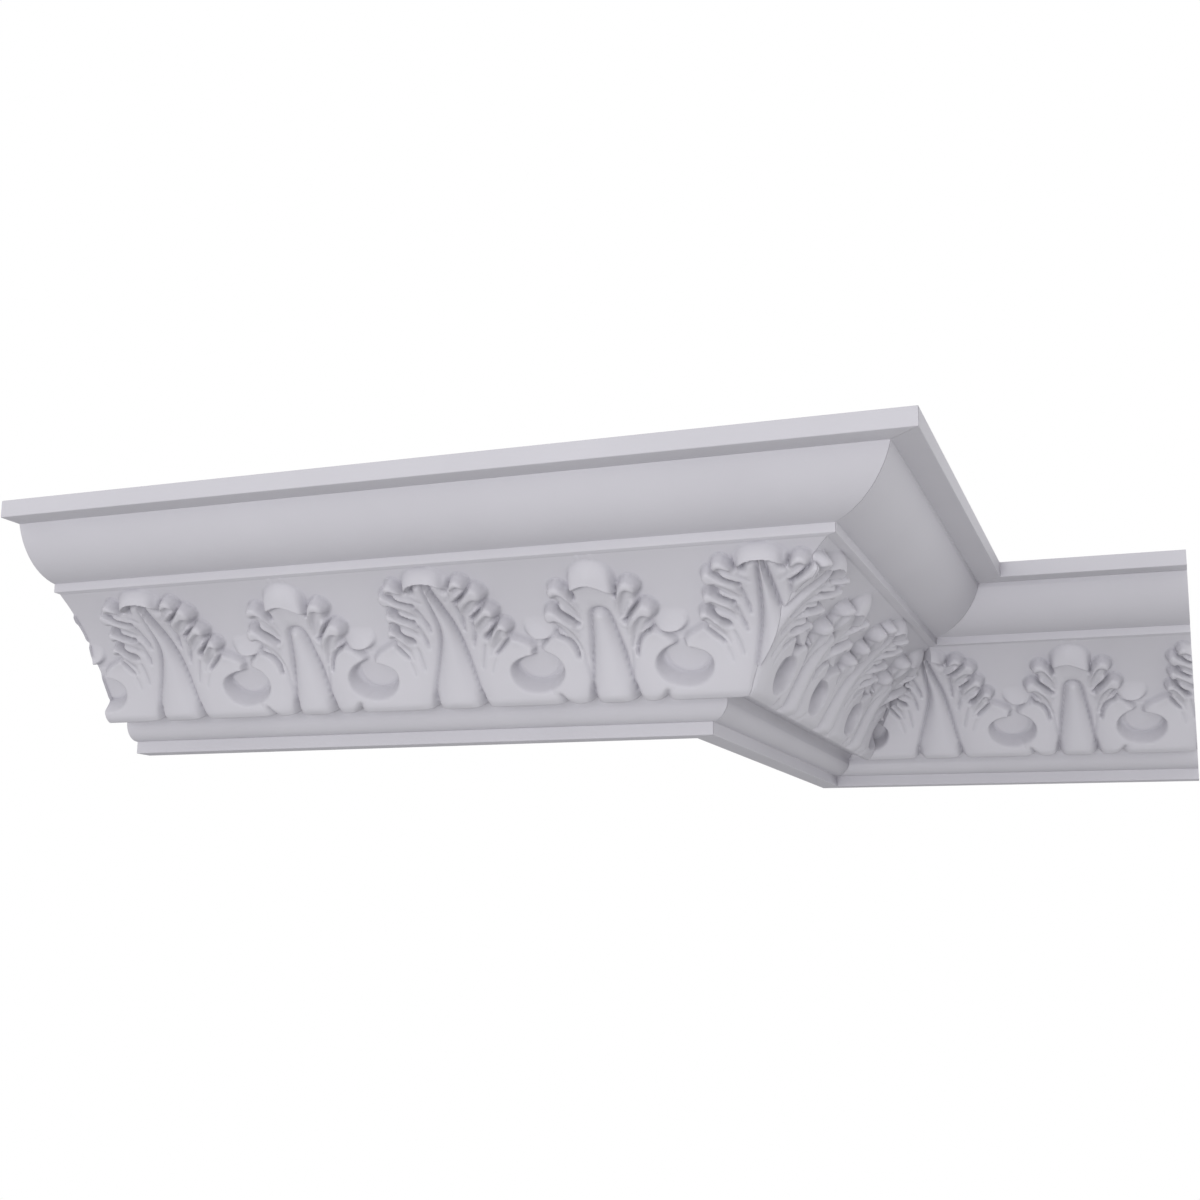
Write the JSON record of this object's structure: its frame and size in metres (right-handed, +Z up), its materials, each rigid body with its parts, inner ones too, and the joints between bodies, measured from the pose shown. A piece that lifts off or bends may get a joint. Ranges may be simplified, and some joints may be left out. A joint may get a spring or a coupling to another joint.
{
  "type": "carved crown moulding",
  "caption": "Mitred lengths of crown moulding with a convex upper member and a frieze of acanthus leaves, midrib darts and round egg recesses, stepping round an outside and an inside corner.",
  "frame": {"origin": "below the middle of the plan, at the height of the underside of the bottom fillet", "axes": "+X to the right along the front and rear lengths, +Y back towards the rear wall, +Z up to the ceiling"},
  "size_m": [0.7434, 0.558, 0.1526],
  "materials": {
    "primer": "matte factory primer, pale cool grey, over cast polyurethane foam"
  },
  "bodies": {
    "root": {"front_length": "primer", "return_length": "primer", "rear_length": "primer"}
  },
  "joints": []
}
